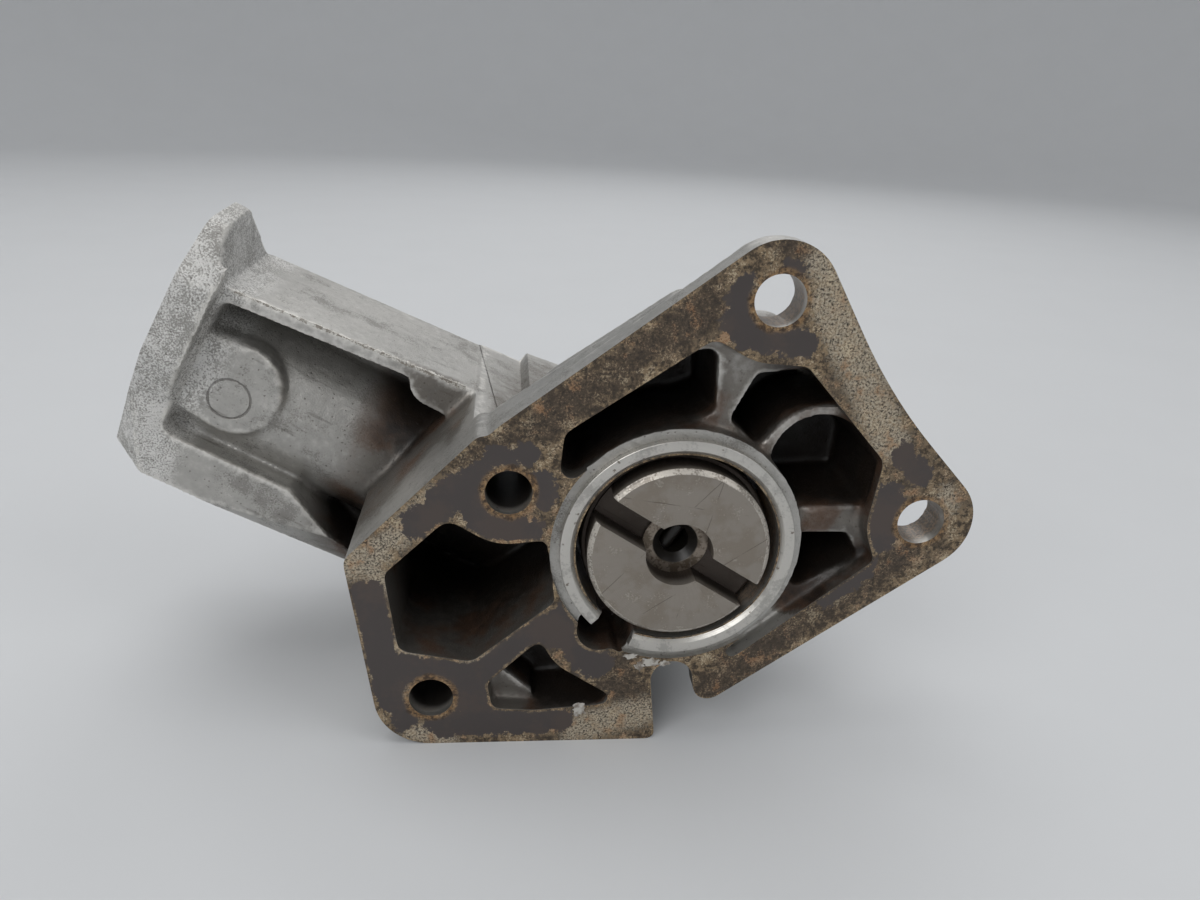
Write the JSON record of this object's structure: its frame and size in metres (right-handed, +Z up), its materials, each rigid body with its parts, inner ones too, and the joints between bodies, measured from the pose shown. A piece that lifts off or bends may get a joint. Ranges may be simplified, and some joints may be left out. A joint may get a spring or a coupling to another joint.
{
  "type": "distributor housing",
  "caption": "Cast distributor housing: bolting flange with a slotted drive coupling, ribbed pockets and an angled branch with a mounting plate and socket.",
  "frame": {"origin": "where the drive shaft's axis meets the plane of the flange face", "axes": "-Y leaves the flange face towards the engine, +Z up, +X to the right seen from the engine"},
  "size_m": [0.1685, 0.0828, 0.1005],
  "materials": {
    "cast_aluminium": "cast, stained",
    "steel": "machined, oiled",
    "bronze": "machined",
    "spring_steel": "blued"
  },
  "bodies": {
    "housing": {"housing_casting": "cast_aluminium", "drive_front_bush": "bronze", "front_bush_circlip": "spring_steel", "front_thrust_washer": "bronze", "rear_thrust_washer": "bronze", "drive_rear_bush": "bronze", "rear_core_plug": "spring_steel", "spindle_tail_bush": "bronze", "tail_thrust_washer": "bronze", "upper_thrust_washer": "bronze", "spindle_upper_bush": "bronze", "upper_bush_circlip": "spring_steel"},
    "drive_line": {"drive_coupling": "steel", "coupling_pin": "steel", "drive_shaft": "steel", "drive_gear": "steel", "gear_key": "steel", "rear_shaft_circlip": "spring_steel"},
    "spindle_line": {"spindle": "steel", "spindle_pinion": "steel", "pinion_pin": "steel", "drive_dog": "steel", "dog_pin": "steel"}
  },
  "joints": [
    {"name": "drive_shaft_turn", "type": "hinge", "parent": "housing", "child": "drive_line", "pos_m": [0, 0, 0], "axis": [0, 1, 0], "continuous": true},
    {"name": "spindle_turn", "type": "hinge", "parent": "housing", "child": "spindle_line", "pos_m": [-0.01241, 0.046, -0.02285], "axis": [-0.8788, 0, 0.4772], "continuous": true}
  ],
  "couplings": [
    {"joint": "spindle_turn", "follows": "drive_shaft_turn", "ratio": -1}
  ]
}
